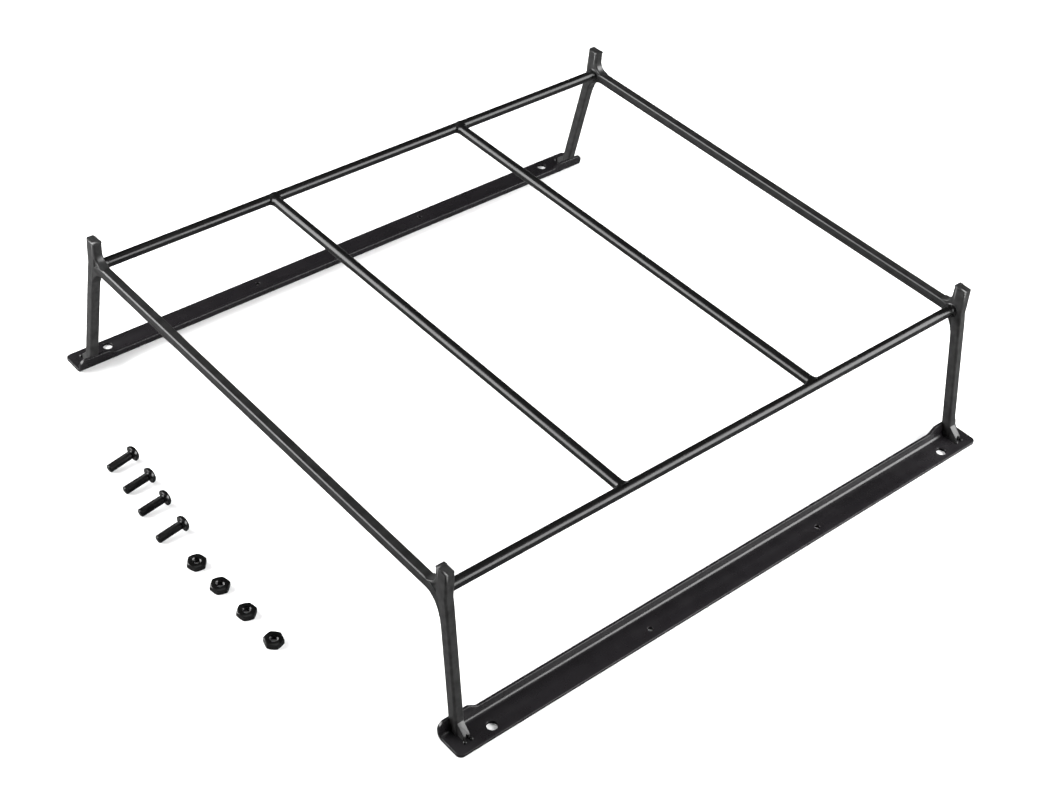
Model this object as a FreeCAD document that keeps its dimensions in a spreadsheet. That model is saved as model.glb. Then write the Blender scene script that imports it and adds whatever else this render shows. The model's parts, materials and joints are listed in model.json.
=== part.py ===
import FreeCAD, Part
import math
import os
import re

import Sketcher

# A small cargo rack: two square-bar hoops joined by round rods, standing on two drilled base strips,
# with its four screws and four nuts lying loose in front of it.
# X runs across the rack, Y along it from the near hoop to the far hoop, Z up from the mounting surface.
# The origin is the middle of the four bolt holes, on the mounting surface.

SIZES = [
    ("rail_spacing", 156.0, "between the axes of the left and right rails"),
    ("rail_height", 42.8, "mounting surface to the axes of rails, cross rods and hoop bars"),
    ("hoop_spacing", 189.8, "between the middle planes of the near and far hoops"),
    ("cross_rod_spacing", 71.1, "between the axes of the two cross rods"),
    ("rod_diameter", 3.2, "rails and cross rods"),
    ("bar_depth", 3.2, "square bar of the hoops, in the plane of the hoop"),
    ("bar_width", 2.9, "square bar of the hoops, across the plane of the hoop"),
    ("edge_round", 0.7, "radius on the long edges of the square bar"),
    ("leg_splay", 10.2, "lean of each leg in degrees, feet outward"),
    ("leg_setout", 2.0, "rail axis to leg axis, at the height of the rail"),
    ("stake_rise", 8.4, "rail axis up to the flat top of a stake"),
    ("stake_draft", 0.3, "how far a stake leans inward over its rise"),
    ("web_width", 1.1, "corner web beside the stake, above its fillet"),
    ("web_fillet", 3.4, "hollow radius where the corner web runs down onto the hoop bar"),
    ("recess_depth", 0.3, "three-cornered recess in the outer face of the web"),
    ("recess_margin", 0.4, "post to the recess"),
    ("recess_run", 2.25, "stake to the corner of the recess that points along the bar"),
    ("recess_rise", 1.7, "top of the bar to the upper corner of the recess"),
    ("bend_radius", 6.0, "inside radius where the hoop bar turns down into the leg"),
    ("crown_radius", 6.0, "outside radius of the same bend"),
    ("crown_setback", 5.6, "centre of the outside radius to the inner face of the leg"),
    ("strip_thickness", 1.0, "sheet of the base strips"),
    ("flange_width", 8.0, "fold line to the outer edge of the flange"),
    ("strip_overhang", 4.9, "middle plane of a hoop to the end of the strips"),
    ("foot_rebate", 0.85, "how far the foot of a post is cut back over the ear of the strip"),
    ("lip_rise", 3.4, "mounting surface to the top of the lip"),
    ("ear_rise", 4.9, "mounting surface to the top of the ears at the ends of the lip"),
    ("ear_length", 9.7, "end of the strip to where the ear starts to fall"),
    ("ear_slope", 2.6, "length over which the ear falls to the lip"),
    ("ear_round", 2.2, "outer top corner of an ear"),
    ("flange_round", 1.6, "corners of the flange"),
    ("fold_round", 1.2, "outside of the fold between flange and lip"),
    ("bolt_hole_diameter", 3.0, "large holes, for the screws"),
    ("pilot_hole_diameter", 1.5, "small holes between them"),
    ("hole_inset", 4.95, "fold line to the line of the holes"),
    ("bolt_setback", 7.85, "middle plane of a hoop to the bolt hole beside it"),
    ("pilot_spacing", 65.2, "between the two small holes of a strip"),
    ("toe_rise", 4.1, "height of the toe gusset above the flange"),
    ("toe_run", 2.2, "length of the toe gusset on the flange"),
    ("toe_end", 1.2, "height of the blunt end of the toe gusset"),
    ("toe_inset", 0.4, "each side of the toe gusset, back from the side of the post"),
    ("foot_weld_radius", 0.6, "round beads at the two lower corners of the toe gusset"),
    ("weld_throat", 0.6, "how far a collar weld stands out from its rod"),
    ("weld_length", 1.3, "length of a collar weld along its rod"),
    ("weld_lip", 0.12, "thickness of a collar weld where it runs out"),
    ("screw_diameter", 2.5, "button-head screws, M2.5"),
    ("screw_length", 8.0, "under the head"),
    ("screw_head_diameter", 4.7, "button head"),
    ("screw_head_height", 1.5, "button head"),
    ("screw_head_rim", 0.35, "straight part of the head below its dome"),
    ("screw_crown_diameter", 2.3, "flat top of the head, around the socket"),
    ("screw_tip_chamfer", 0.3, "at the end of the thread"),
    ("socket_width", 1.5, "hexagon socket across its flats"),
    ("socket_depth", 0.9, "hexagon socket"),
    ("nut_width", 4.9, "across the flats, M2.5"),
    ("nut_height", 1.8, "thickness of a nut"),
    ("nut_bore", 2.05, "minor diameter of the nut's thread"),
    ("nut_chamfer", 0.3, "reach of the bevel cut beyond the corners of a nut"),
    ("screw_row_gap", 20.2, "ends of the strips to the tip of the first screw"),
    ("nut_row_gap", 14.9, "ends of the strips to the line of the nuts"),
]

# Where the loose hardware lies: name, X, further step away from the row's line, turn in degrees.
SCREWS = [
    ("mounting_screw_1", -43.8, -4.8, 5.0),
    ("mounting_screw_2", -33.6, -3.8, 3.0),
    ("mounting_screw_3", -23.5, -2.4, 2.5),
    ("mounting_screw_4", -12.0, -0.9, 3.0),
]
NUTS = [
    ("mounting_nut_1", 1.1, 0.4, 18.0),
    ("mounting_nut_2", 11.9, 0.1, 12.0),
    ("mounting_nut_3", 23.8, -0.3, 10.0),
    ("mounting_nut_4", 36.2, -0.3, 45.0),
]

SIDES = {"left": -1, "right": 1}
ENDS = {"near": -1, "far": 1}

# Places worked out from the sizes. The square bar is described on the right side of a hoop.
BAR_TOP = "(rail_height + bar_depth / 2)"
BAR_BOTTOM = "(rail_height - bar_depth / 2)"
STAKE_TOP = "(rail_height + stake_rise)"
HOOP_INNER_FACE = "(hoop_spacing / 2 - bar_width / 2)"
STRIP_END = "(hoop_spacing / 2 + strip_overhang)"
LEG_AXIS = "((rail_spacing / 2 + leg_setout) * cos(leg_splay) + rail_height * sin(leg_splay))"
LEG_INNER = f"({LEG_AXIS} - bar_depth / 2)"
LEG_OUTER = f"({LEG_AXIS} + bar_depth / 2)"


def across(face, height):
    """X of a leaning face at a height. A face is its distance from the origin, square to itself."""
    return f"(({face} - {height} * sin(leg_splay)) / cos(leg_splay))"


FOLD = f"({across(LEG_INNER, 'strip_thickness')} + foot_rebate)"
LIP_OUTER = f"({FOLD} * cos(leg_splay) + strip_thickness * sin(leg_splay))"
LIP_INNER = f"({LIP_OUTER} - strip_thickness)"
FLANGE_EDGE = f"({FOLD} + flange_width)"
HOLE_LINE = f"({FOLD} + hole_inset)"

KINK_INNER = across(LEG_INNER, "rail_height")
KINK_OUTER = across(LEG_OUTER, "rail_height")
STAKE_INNER = f"({KINK_INNER} - stake_draft)"
STAKE_OUTER = f"({KINK_OUTER} - stake_draft)"

BEND_Z = f"({BAR_BOTTOM} - bend_radius)"
BEND_X = across(f"({LEG_INNER} - bend_radius)", BEND_Z)
BEND_END_X = f"({BEND_X} + bend_radius * cos(leg_splay))"
BEND_END_Z = f"({BEND_Z} + bend_radius * sin(leg_splay))"

CROWN_Z = f"({BAR_TOP} - crown_radius)"
CROWN_X = across(f"({LEG_INNER} - crown_setback)", CROWN_Z)
CROWN_CHORD = "sqrt(crown_radius ^ 2 - crown_setback ^ 2)"
CROWN_END_X = f"({CROWN_X} + crown_setback * cos(leg_splay) - {CROWN_CHORD} * sin(leg_splay))"
CROWN_END_Z = f"({CROWN_Z} + crown_setback * sin(leg_splay) + {CROWN_CHORD} * cos(leg_splay))"
WEB_EDGE = f"({STAKE_INNER} - web_width)"
WEB_FOOT_X = f"({WEB_EDGE} - web_fillet)"
WEB_FOOT_Z = f"({CROWN_Z} + sqrt(crown_radius ^ 2 - ({WEB_FOOT_X} - {CROWN_X}) ^ 2))"

doc = FreeCAD.newDocument("cargo_rack")
sheet = doc.addObject("Spreadsheet::Sheet", "Sizes")


def fill_sheet():
    for row, (name, size, meaning) in enumerate(SIZES, start=1):
        sheet.set(f"A{row}", name)
        sheet.set(f"B{row}", str(size))
        sheet.set(f"C{row}", meaning)
        sheet.setAlias(f"B{row}", name)
    doc.recompute()


def bound(text):
    """Turns text that names sizes into an expression on the sheet."""
    return re.sub(r"\b([a-z]\w+)\b(?!\()", r"Sizes.\1", str(text))


def value(text):
    return float(sheet.evalExpression(bound(text)))


def add_body(label):
    body = doc.addObject("PartDesign::Body", label)
    body.Label = label
    return body


def place(body, x=0, y=0, z=0):
    for axis, text in (("x", x), ("y", y), ("z", z)):
        body.setExpression(f"Placement.Base.{axis}", bound(text))


def add_sketch(body, plane, offset=0):
    """An empty sketch on one of the body's own origin planes, or parallel to it."""
    sketch = body.newObject("Sketcher::SketchObject", body.Name + "_sketch")
    origin = next(f for f in body.Origin.OriginFeatures if f.Role == plane)
    sketch.AttachmentSupport = [(origin, "")]
    sketch.MapMode = "FlatFace"
    sketch.setExpression("AttachmentOffset.Base.z", bound(offset))
    return sketch


def point_at(curve, point, x, y):
    """The two constraints that hold a point of a curve at X and Y, each with its expression."""
    return [
        (Sketcher.Constraint("DistanceX", -1, 1, curve, point, value(x)), x),
        (Sketcher.Constraint("DistanceY", -1, 1, curve, point, value(y)), y),
    ]


def add_sizes(sketch, sizes):
    """Adds constraints that are bound to the sheet, from pairs of a constraint and its expression."""
    for index, (_, text) in zip(sketch.addConstraint([c for c, _ in sizes]), sizes):
        sketch.setExpression(f"Constraints[{index}]", bound(text))


def arc_through(start, end, radius, turn):
    """The short arc from start to end; it turns left if turn is 1 and right if it is -1."""
    chord = end - start
    rise = math.sqrt(max(radius**2 - (chord.Length / 2) ** 2, 0))
    normal = FreeCAD.Vector(-chord.y, chord.x, 0).normalize()
    centre = (start + end) / 2 + normal * rise * turn
    first, last = (start, end) if turn > 0 else (end, start)
    angles = [math.atan2(p.y - centre.y, p.x - centre.x) for p in (first, last)]
    circle = Part.Circle(centre, FreeCAD.Vector(0, 0, 1), radius)
    return Part.ArcOfCircle(circle, angles[0], angles[1])


def draw(sketch, corners):
    """Closes an outline through its corners, each (x, y) or (x, y, radius, turn) where an arc leaves it."""
    points = [FreeCAD.Vector(value(c[0]), value(c[1]), 0) for c in corners]
    curves, sizes = [], []
    for here, corner in enumerate(corners):
        start, end = points[here], points[(here + 1) % len(points)]
        if len(corner) == 2:
            curves.append((sketch.addGeometry(Part.LineSegment(start, end)), 1, 2))
            continue
        radius, turn = corner[2:]
        arc = sketch.addGeometry(arc_through(start, end, value(radius), turn))
        curves.append((arc, 1, 2) if turn > 0 else (arc, 2, 1))
        sizes.append((Sketcher.Constraint("Radius", arc, value(radius)), radius))
    joins = []
    for here, corner in enumerate(corners):
        curve, start, end = curves[here]
        following = curves[(here + 1) % len(curves)]
        joins.append(Sketcher.Constraint("Coincident", curve, end, following[0], following[1]))
        sizes += point_at(curve, start, corner[0], corner[1])
    sketch.addConstraint(joins)
    add_sizes(sketch, sizes)


def draw_circle(sketch, x, y, diameter):
    centre = FreeCAD.Vector(value(x), value(y), 0)
    circle = Part.Circle(centre, FreeCAD.Vector(0, 0, 1), value(diameter) / 2)
    curve = sketch.addGeometry(circle)
    across_circle = Sketcher.Constraint("Diameter", curve, value(diameter))
    add_sizes(sketch, point_at(curve, 3, x, y) + [(across_circle, diameter)])


def draw_hexagon(sketch, width):
    """A hexagon about the origin, with two of its flats square to the sketch's Y."""
    corners = [
        (f"{width} / sqrt(3) * cos({60 * k})", f"{width} / sqrt(3) * sin({60 * k})") for k in range(6)
    ]
    draw(sketch, corners)


def pad(body, sketch, length, middle=False):
    feature = body.newObject("PartDesign::Pad", body.Name + "_pad")
    feature.Profile = sketch
    feature.setExpression("Length", bound(length))
    feature.SideType = "Symmetric" if middle else "One side"
    doc.recompute()
    return feature


def pocket(body, sketch):
    """Cuts the sketch right through the body, both ways."""
    before = body.Shape.Volume
    feature = body.newObject("PartDesign::Pocket", body.Name + "_pocket")
    feature.Profile = sketch
    feature.Type = "ThroughAll"
    feature.SideType = "Symmetric"
    doc.recompute()
    if body.Shape.Volume >= before:
        raise RuntimeError(f"{feature.Name} removes nothing")


def blind_pocket(body, sketch, depth, reverse):
    before = body.Shape.Volume
    feature = body.newObject("PartDesign::Pocket", body.Name + "_recess")
    feature.Profile = sketch
    feature.Reversed = reverse
    feature.setExpression("Length", bound(depth))
    doc.recompute()
    if body.Shape.Volume >= before:
        raise RuntimeError(f"{feature.Name} removes nothing")


def turn(body, sketch, kind="Revolution"):
    """Revolves or grooves the sketch about its own vertical axis."""
    feature = body.newObject(f"PartDesign::{kind}", body.Name + "_turned")
    feature.Profile = sketch
    feature.ReferenceAxis = (sketch, ["V_Axis"])
    feature.Angle = 360
    doc.recompute()
    return feature


def round_edges(body, radius, wanted):
    """Fillets the edges of the body's last feature that the test picks out."""
    base = body.Tip
    names = [f"Edge{n}" for n, edge in enumerate(base.Shape.Edges, start=1) if wanted(edge)]
    feature = body.newObject("PartDesign::Fillet", body.Name + "_round")
    feature.Base = (base, names)
    feature.setExpression("Radius", bound(radius))
    doc.recompute()


def near_to(a, b):
    return abs(a - b) < 1e-4


def mirrored(corners, side):
    """The outline on the left or right side; arcs turn the other way once mirrored."""
    if side > 0:
        return corners
    return [(f"-{c[0]}", c[1]) if len(c) == 2 else (f"-{c[0]}", c[1], c[2], -c[3]) for c in corners]


def hoop_bar(label, end):
    """Top bar of a hoop, whose ends turn down and are cut to lie against the posts."""
    body = add_body(label)
    right = [
        (CROWN_X, BAR_TOP, "crown_radius", -1),
        (CROWN_END_X, CROWN_END_Z),
        (BEND_END_X, BEND_END_Z, "bend_radius", 1),
        (BEND_X, BAR_BOTTOM),
    ]
    left = [
        (f"-{BEND_X}", BAR_BOTTOM, "bend_radius", 1),
        (f"-{BEND_END_X}", BEND_END_Z),
        (f"-{CROWN_END_X}", CROWN_END_Z, "crown_radius", -1),
        (f"-{CROWN_X}", BAR_TOP),
    ]
    sketch = add_sketch(body, "XZ_Plane")
    draw(sketch, right + left)
    pad(body, sketch, "bar_width", middle=True)
    place(body, y=f"{end} * hoop_spacing / 2")


def post(label, side, end):
    """Leg and stake in one bar, bent at the height of the rail, its foot cut to stand over the ear."""
    body = add_body(label)
    corners = [
        (FOLD, "strip_thickness"),
        (across(LEG_OUTER, "strip_thickness"), "strip_thickness"),
        (KINK_OUTER, "rail_height"),
        (STAKE_OUTER, STAKE_TOP),
        (STAKE_INNER, STAKE_TOP),
        (KINK_INNER, "rail_height"),
        (across(LEG_INNER, "ear_rise"), "ear_rise"),
        (across(LIP_OUTER, "ear_rise"), "ear_rise"),
    ]
    sketch = add_sketch(body, "XZ_Plane")
    draw(sketch, mirrored(corners, side))
    pad(body, sketch, "bar_width", middle=True)
    half_width = value("bar_width") / 2
    stake_middle = (value(KINK_INNER) + value(STAKE_OUTER)) / 2

    def along_leg_or_outside(edge):
        """True for the long edges, but not for those between stake and web."""
        middle = edge.valueAt((edge.FirstParameter + edge.LastParameter) / 2)
        points = [middle] + [vertex.Point for vertex in edge.Vertexes]
        on_side = all(near_to(abs(point.y), half_width) for point in points)
        lengthwise = value("ear_rise") + 0.01 < middle.z < value(STAKE_TOP) - 0.01
        by_web = middle.z > value("rail_height") and abs(middle.x) < stake_middle
        return on_side and lengthwise and not by_web

    round_edges(body, "edge_round", along_leg_or_outside)
    place(body, y=f"{end} * hoop_spacing / 2")


def corner_web(label, side, end):
    """Filler between the bend of the hoop bar and the stake, with a shallow recess in its outer face."""
    body = add_body(label)
    corners = [
        (CROWN_END_X, CROWN_END_Z),
        (KINK_INNER, "rail_height"),
        (STAKE_INNER, STAKE_TOP),
        (WEB_EDGE, STAKE_TOP),
        (WEB_EDGE, f"({BAR_TOP} + web_fillet)", "web_fillet", -1),
        (WEB_FOOT_X, WEB_FOOT_Z, "crown_radius", -1),
    ]
    sketch = add_sketch(body, "XZ_Plane")
    draw(sketch, mirrored(corners, side))
    pad(body, sketch, "bar_width", middle=True)
    recess = [
        (f"({KINK_INNER} - recess_margin)", "rail_height"),
        (f"({STAKE_INNER} - recess_margin)", f"({BAR_TOP} + recess_rise)"),
        (f"({STAKE_INNER} - recess_run)", BAR_TOP),
    ]
    cut = add_sketch(body, "XZ_Plane", offset=f"{-end} * bar_width / 2")
    draw(cut, mirrored(recess, side))
    blind_pocket(body, cut, "recess_depth", reverse=end > 0)
    place(body, y=f"{end} * hoop_spacing / 2")


def base_strip(label, side):
    """Angle strip under the two posts of one side: a flat flange and a leaning lip with raised ends."""
    body = add_body(label)
    profile = [
        (across(LIP_INNER, 0), "0"),
        (FLANGE_EDGE, "0"),
        (FLANGE_EDGE, "strip_thickness"),
        (FOLD, "strip_thickness"),
        (across(LIP_OUTER, "ear_rise"), "ear_rise"),
        (across(LIP_INNER, "ear_rise"), "ear_rise"),
    ]
    sketch = add_sketch(body, "XZ_Plane")
    draw(sketch, mirrored(profile, side))
    pad(body, sketch, f"2 * {STRIP_END}", middle=True)

    # The lip is lower than the ears all the way between them.
    above = "(ear_rise + strip_thickness)"
    slope = "(ear_slope * (1 + strip_thickness / (ear_rise - lip_rise)))"
    foot = f"({STRIP_END} - ear_length - ear_slope)"
    head = f"({foot} + {slope})"
    between = [(f"-{foot}", "lip_rise"), (foot, "lip_rise"), (head, above), (f"-{head}", above)]
    cut = add_sketch(body, "YZ_Plane")
    draw(cut, between)
    pocket(body, cut)

    holes = add_sketch(body, "XY_Plane")
    line = f"{side} * {HOLE_LINE}"
    for end in ENDS.values():
        draw_circle(holes, line, f"{end} * (hoop_spacing / 2 - bolt_setback)", "bolt_hole_diameter")
        draw_circle(holes, line, f"{end} * pilot_spacing / 2", "pilot_hole_diameter")
    pocket(body, holes)

    strip_end = value(STRIP_END)

    def on_end_face(edge):
        return all(near_to(edge.Vertexes[0].Y, v.Y) and near_to(abs(v.Y), strip_end) for v in edge.Vertexes)

    def flange_corner(edge):
        return on_end_face(edge) and all(near_to(abs(v.X), value(FLANGE_EDGE)) for v in edge.Vertexes)

    def ear_corner(edge):
        return on_end_face(edge) and all(near_to(v.Z, value("ear_rise")) for v in edge.Vertexes)

    def fold_edge(edge):
        return all(near_to(v.Z, 0) and near_to(abs(v.X), value(across(LIP_INNER, 0))) for v in edge.Vertexes)

    round_edges(body, "flange_round", flange_corner)
    round_edges(body, "ear_round", ear_corner)
    round_edges(body, "fold_round", fold_edge)
    place(body)


def toe_gusset(label, side, end):
    """Small wedge between the outer face of a leg and the flange."""
    body = add_body(label)
    head = "(strip_thickness + toe_rise)"
    foot = across(LEG_OUTER, "strip_thickness")
    tip = f"({foot} + toe_run)"
    corners = [
        (foot, "strip_thickness"),
        (tip, "strip_thickness"),
        (tip, "(strip_thickness + toe_end)"),
        (across(LEG_OUTER, head), head),
    ]
    sketch = add_sketch(body, "XZ_Plane")
    draw(sketch, mirrored(corners, side))
    pad(body, sketch, "(bar_width - 2 * toe_inset)", middle=True)
    place(body, y=f"{end} * hoop_spacing / 2")


def foot_weld(label, side, end, face):
    """Round bead on the flange, at one corner of the toe gusset: the near one or the far one."""
    bead = doc.addObject("Part::Sphere", label)
    bead.Label = label
    bead.Angle1 = 0
    bead.setExpression("Radius", bound("foot_weld_radius"))
    x = f"{side} * ({across(LEG_OUTER, 'strip_thickness')} + toe_run + foot_weld_radius)"
    y = f"{end} * hoop_spacing / 2 + {face} * (bar_width / 2 - toe_inset)"
    place(bead, x, y, "strip_thickness")


def rail(label, side):
    """Round rod between the inner faces of the two hoops."""
    body = add_body(label)
    sketch = add_sketch(body, "XZ_Plane")
    draw_circle(sketch, f"{side} * rail_spacing / 2", "rail_height", "rod_diameter")
    pad(body, sketch, f"2 * {HOOP_INNER_FACE}", middle=True)
    place(body)


def cut_saddles(body):
    """Cuts the ends of whatever runs across the rack to fit around the two rails."""
    cut = add_sketch(body, "XZ_Plane")
    for side in SIDES.values():
        draw_circle(cut, f"{side} * rail_spacing / 2", "rail_height", "rod_diameter")
    pocket(body, cut)


def cross_rod(label, end):
    """Round rod between the two rails, coped to fit them."""
    body = add_body(label)
    sketch = add_sketch(body, "YZ_Plane")
    draw_circle(sketch, "0", "rail_height", "rod_diameter")
    pad(body, sketch, "rail_spacing", middle=True)
    cut_saddles(body)
    place(body, y=f"{end} * cross_rod_spacing / 2")


def collar_profile(start, outward, length):
    """Section of a collar weld, from its thick end at start: a wedge on the surface of the rod."""
    return [
        ("rod_diameter / 2", start),
        ("(rod_diameter / 2 + weld_throat)", start),
        ("(rod_diameter / 2 + weld_lip)", f"({start} + {outward} * {length})"),
        ("rod_diameter / 2", f"({start} + {outward} * {length})"),
    ]


def rail_weld(label, side, end):
    """Collar weld around the end of a rail, against the inner face of the hoop."""
    body = add_body(label)
    sketch = add_sketch(body, "XY_Plane")
    draw(sketch, collar_profile("0", -end, "weld_length"))
    turn(body, sketch)
    place(body, f"{side} * rail_spacing / 2", f"{end} * {HOOP_INNER_FACE}", "rail_height")


def rod_weld(label, side, end):
    """Collar weld around the end of a cross rod, hollowed to fit the rail."""
    body = add_body(label)
    sketch = add_sketch(body, "XY_Plane")
    length = "(rod_diameter / 2 + weld_length)"
    draw(sketch, collar_profile("0", 1, length))
    turn(body, sketch)
    saddle = add_sketch(body, "YZ_Plane")
    draw_circle(saddle, "0", "0", "rod_diameter")
    pocket(body, saddle)
    body.Placement.Rotation = FreeCAD.Rotation(FreeCAD.Vector(0, 0, 1), 90 * side)
    place(body, f"{side} * rail_spacing / 2", f"{end} * cross_rod_spacing / 2", "rail_height")


def screw(label, x, step, heading):
    """Button-head screw with a hexagon socket, lying on the rim of its head and the tip of its thread."""
    body = add_body(label)
    shank = "(screw_diameter / 2)"
    head = "(screw_head_diameter / 2)"
    crown = "(screw_crown_diameter / 2)"
    dome_height = "(screw_head_height - screw_head_rim)"
    dome_run = f"({head} - {crown})"
    profile = [
        ("0", "-screw_length"),
        (f"({shank} - screw_tip_chamfer)", "-screw_length"),
        (shank, "(screw_tip_chamfer - screw_length)"),
        (shank, "0"),
        (head, "0"),
        (head, "screw_head_rim", f"(({dome_run} ^ 2 + {dome_height} ^ 2) / (2 * {dome_height}))", 1),
        (crown, "screw_head_height"),
        ("0", "screw_head_height"),
    ]
    sketch = add_sketch(body, "XZ_Plane")
    draw(sketch, profile)
    turn(body, sketch)
    socket = add_sketch(body, "XY_Plane", offset="screw_head_height")
    draw_hexagon(socket, "socket_width")
    blind_pocket(body, socket, "socket_depth", reverse=False)
    lean = f"atan(screw_length / ({head} - {shank}))"
    direction = math.radians(heading)
    axis = FreeCAD.Vector(-math.cos(direction), -math.sin(direction), 0)
    body.Placement.Rotation = FreeCAD.Rotation(axis, 90)
    body.setExpression("Placement.Rotation.Angle", bound(lean))
    tip_y = f"({STRIP_END} + screw_row_gap + {step})"
    reach = f"screw_length * sin({lean})"
    rim_x = f"{x} - {reach} * sin({heading})"
    rim_y = f"{reach} * cos({heading}) - {tip_y}"
    place(body, rim_x, rim_y, f"{head} * sin({lean})")


def nut(label, x, step, heading):
    """Hexagon nut lying flat, its corners bevelled on both faces."""
    body = add_body(label)
    sketch = add_sketch(body, "XY_Plane")
    draw_hexagon(sketch, "nut_width")
    pad(body, sketch, "nut_height")
    bore = add_sketch(body, "XY_Plane")
    draw_circle(bore, "0", "0", "nut_bore")
    pocket(body, bore)
    bevel = add_sketch(body, "XZ_Plane")
    corner = "(nut_width / sqrt(3) + nut_chamfer)"
    flat = "(nut_width / 2)"
    drop = f"(({corner} - {flat}) / sqrt(3))"
    draw(bevel, [(flat, "0"), (corner, "0"), (corner, drop)])
    turn(body, bevel, "Groove")
    top = add_sketch(body, "XZ_Plane")
    draw(top, [(flat, "nut_height"), (corner, f"(nut_height - {drop})"), (corner, "nut_height")])
    turn(body, top, "Groove")
    body.Placement.Rotation = FreeCAD.Rotation(FreeCAD.Vector(0, 0, 1), heading)
    place(body, x, f"-({STRIP_END} + nut_row_gap + {step})", "0")


def build():
    fill_sheet()
    for end_name, end in ENDS.items():
        hoop_bar(f"{end_name}_hoop_bar", end)
        cross_rod(f"{end_name}_cross_rod", end)
    for side_name, side in SIDES.items():
        rail(f"{side_name}_rail", side)
        base_strip(f"{side_name}_base_strip", side)
        for end_name, end in ENDS.items():
            corner = f"{end_name}_{side_name}"
            post(f"{corner}_post", side, end)
            corner_web(f"{corner}_corner_web", side, end)
            toe_gusset(f"{corner}_toe_gusset", side, end)
            for face_name, face in ENDS.items():
                foot_weld(f"{corner}_foot_weld_{face_name}", side, end, face)
            rail_weld(f"{corner}_rail_weld", side, end)
            rod_weld(f"{corner}_rod_weld", side, end)
    for place_of_screw in SCREWS:
        screw(*place_of_screw)
    for place_of_nut in NUTS:
        nut(*place_of_nut)
    doc.recompute()


def check():
    """Stops if any object failed, or any piece is empty, broken or not one solid."""
    for thing in doc.Objects:
        if "Invalid" in thing.State or "Error" in thing.State:
            raise RuntimeError(f"{thing.Name} failed: {thing.State}")
    for piece in pieces():
        shape = piece.Shape
        if shape.isNull() or not shape.isValid() or len(shape.Solids) != 1:
            raise RuntimeError(f"{piece.Label} is not one sound solid")


def pieces():
    return [thing for thing in doc.Objects if thing.TypeId in ("PartDesign::Body", "Part::Sphere")]


def export():
    os.makedirs("parts", exist_ok=True)
    for piece in pieces():
        piece.Shape.exportStep(f"parts/{piece.Label}.step")


build()
check()
export()
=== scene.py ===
import json
import math

import bmesh
import bpy
import numpy as np
from mathutils import Matrix, Vector, noise

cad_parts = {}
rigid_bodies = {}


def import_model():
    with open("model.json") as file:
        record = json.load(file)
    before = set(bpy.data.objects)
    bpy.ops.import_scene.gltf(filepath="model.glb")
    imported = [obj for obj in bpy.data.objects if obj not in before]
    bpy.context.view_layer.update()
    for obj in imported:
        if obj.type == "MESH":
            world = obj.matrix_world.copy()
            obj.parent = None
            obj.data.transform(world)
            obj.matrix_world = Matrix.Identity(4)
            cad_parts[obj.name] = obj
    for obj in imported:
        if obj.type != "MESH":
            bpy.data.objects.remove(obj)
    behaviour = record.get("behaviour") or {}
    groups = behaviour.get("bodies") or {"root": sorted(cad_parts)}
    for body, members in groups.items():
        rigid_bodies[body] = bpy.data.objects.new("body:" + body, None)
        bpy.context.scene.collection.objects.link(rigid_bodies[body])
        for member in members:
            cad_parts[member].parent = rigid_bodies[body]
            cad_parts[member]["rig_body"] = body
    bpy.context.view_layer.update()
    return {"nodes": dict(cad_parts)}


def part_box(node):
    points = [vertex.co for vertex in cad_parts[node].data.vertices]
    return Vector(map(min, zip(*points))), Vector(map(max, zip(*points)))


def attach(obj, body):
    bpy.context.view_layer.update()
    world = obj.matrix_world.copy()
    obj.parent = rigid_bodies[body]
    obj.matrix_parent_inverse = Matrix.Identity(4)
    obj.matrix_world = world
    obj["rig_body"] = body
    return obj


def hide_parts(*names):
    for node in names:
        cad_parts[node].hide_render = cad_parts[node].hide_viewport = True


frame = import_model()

# A small cargo rack in satin black coat, with its loose screws and nuts in front of it.
# X runs across the rack, Y along it from the near hoop to the far hoop, Z up from the floor.
# Sizes here are in millimetres; MM turns them into the scene's metres.
MM = 0.001


def box(node):
    """Lowest and highest corner of a CAD node, in millimetres."""
    low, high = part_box(node)
    return Vector(low) / MM, Vector(high) / MM


def middle(node):
    low, high = box(node)
    return (low + high) / 2


# Sizes that the frame gives.
RAIL_LOW, RAIL_HIGH = box("right_rail")
RAIL_X = (RAIL_LOW.x + RAIL_HIGH.x) / 2
RAIL_Z = (RAIL_LOW.z + RAIL_HIGH.z) / 2
ROD_RADIUS = (RAIL_HIGH.z - RAIL_LOW.z) / 2
RAIL_END = RAIL_HIGH.y
CROSS_ROD_Y = middle("far_cross_rod").y
HOOP_LOW, HOOP_HIGH = box("far_hoop_bar")
HOOP_Y = (HOOP_LOW.y + HOOP_HIGH.y) / 2
BAR_WIDTH = HOOP_HIGH.y - HOOP_LOW.y
BAR_TOP = HOOP_HIGH.z
BAR_BOTTOM = 2 * RAIL_Z - BAR_TOP
BAR_DEPTH = BAR_TOP - BAR_BOTTOM
STAKE_TOP = box("far_right_post")[1].z
STRIP_HIGH = box("right_base_strip")[1]
STRIP_END, EAR_TOP, FLANGE_EDGE = STRIP_HIGH.y, STRIP_HIGH.z, STRIP_HIGH.x
GUSSET_LOW, GUSSET_HIGH = box("far_right_toe_gusset")
SHEET = GUSSET_LOW.z
TOE_X, TOE_TOP = GUSSET_HIGH.x, GUSSET_HIGH.z
RAIL_WELD_LOW, RAIL_WELD_HIGH = box("far_right_rail_weld")
COLLAR_RADIUS = (RAIL_WELD_HIGH.z - RAIL_WELD_LOW.z) / 2
COLLAR_LENGTH = RAIL_WELD_HIGH.y - RAIL_WELD_LOW.y
ROD_WELD_START = box("far_right_rod_weld")[0].x

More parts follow.
